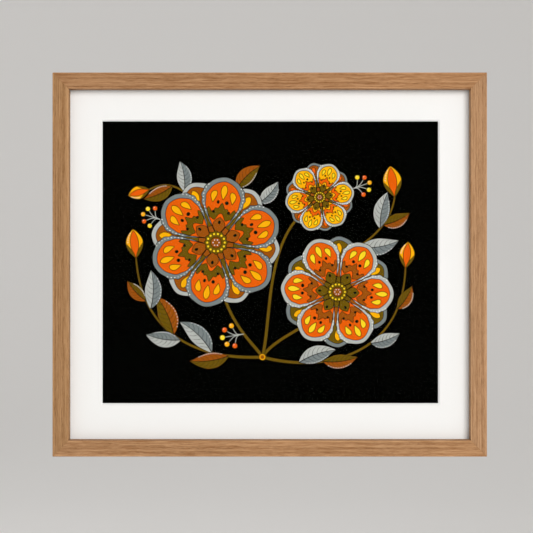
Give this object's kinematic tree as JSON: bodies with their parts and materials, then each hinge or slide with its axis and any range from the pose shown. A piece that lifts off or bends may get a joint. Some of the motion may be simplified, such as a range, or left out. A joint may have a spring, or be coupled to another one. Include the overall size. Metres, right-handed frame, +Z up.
{
  "type": "framed picture",
  "caption": "Wall-hung picture in a mitred oak frame, with a white bevelled window mat, clear glazing and a toothed hanger on the back.",
  "frame": {"origin": "the point in the plane of the wall where a wall nail carries the middle notch of the hanger", "axes": "+X right and +Z up as seen from the front; +Y into the wall, so the picture faces -Y"},
  "size_m": [0.435, 0.026, 0.3846],
  "materials": {
    "oak": "fine straight-grained pale oak, satin",
    "clear_sheet": "clear, polished, low reflection",
    "mat_board": "matte white board with a bright bevelled core",
    "painted_board": "matte black ground with flat orange, yellow, olive, brown and grey paint",
    "fibreboard": "smooth brown fibreboard",
    "point_steel": "bright spring steel",
    "hanger_brass": "brass-plated steel, polished",
    "bumper_rubber": "soft dark rubber, matte"
  },
  "bodies": {
    "root": {"rail_top": "oak", "rail_bottom": "oak", "rail_left": "oak", "rail_right": "oak", "glazing": "clear_sheet", "window_mat": "mat_board", "picture": "painted_board", "backing_board": "fibreboard", "point_top_1": "point_steel", "point_top_2": "point_steel", "point_top_3": "point_steel", "point_bottom_1": "point_steel", "point_bottom_2": "point_steel", "point_bottom_3": "point_steel", "point_left_1": "point_steel", "point_left_2": "point_steel", "point_right_1": "point_steel", "point_right_2": "point_steel", "hanger": "hanger_brass", "hanger_nail_left": "hanger_brass", "hanger_nail_right": "hanger_brass", "bumper_left": "bumper_rubber", "bumper_right": "bumper_rubber"}
  },
  "joints": []
}
